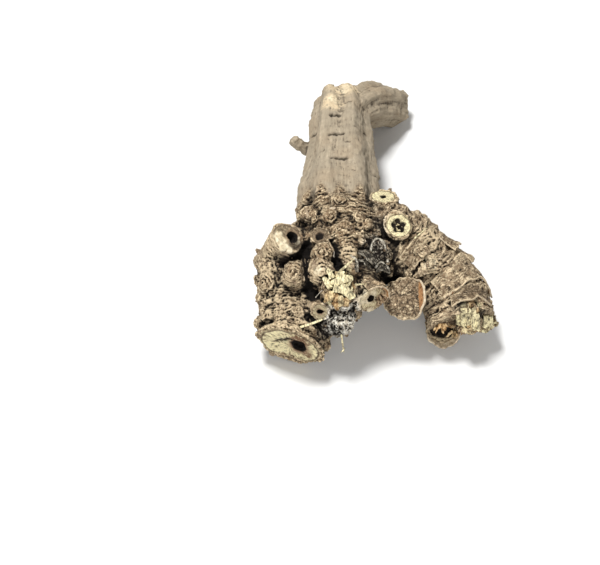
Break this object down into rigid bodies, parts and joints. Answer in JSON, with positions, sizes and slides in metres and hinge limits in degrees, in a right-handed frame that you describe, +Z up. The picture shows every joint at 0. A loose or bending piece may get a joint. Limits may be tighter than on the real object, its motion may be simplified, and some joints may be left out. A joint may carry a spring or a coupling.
{
  "type": "hollyhock root",
  "caption": "Dried gnarled root: a smooth ribbed taproot that bends at its far end, and a knobbly forked crown of bark-scaled stem bases with cut and broken ends.",
  "frame": {"origin": "on the surface that the root lies on, below the middle of its bounding box", "axes": "+Z up, +Y along the taproot from the crown to the bend, +X to the right when the crown is nearest the viewer"},
  "size_m": [0.0853, 0.1306, 0.0416],
  "materials": {
    "bark": "matte dry bark, pale straw wood where it is cut or broken"
  },
  "bodies": {
    "root": {"root": "bark"}
  },
  "joints": []
}
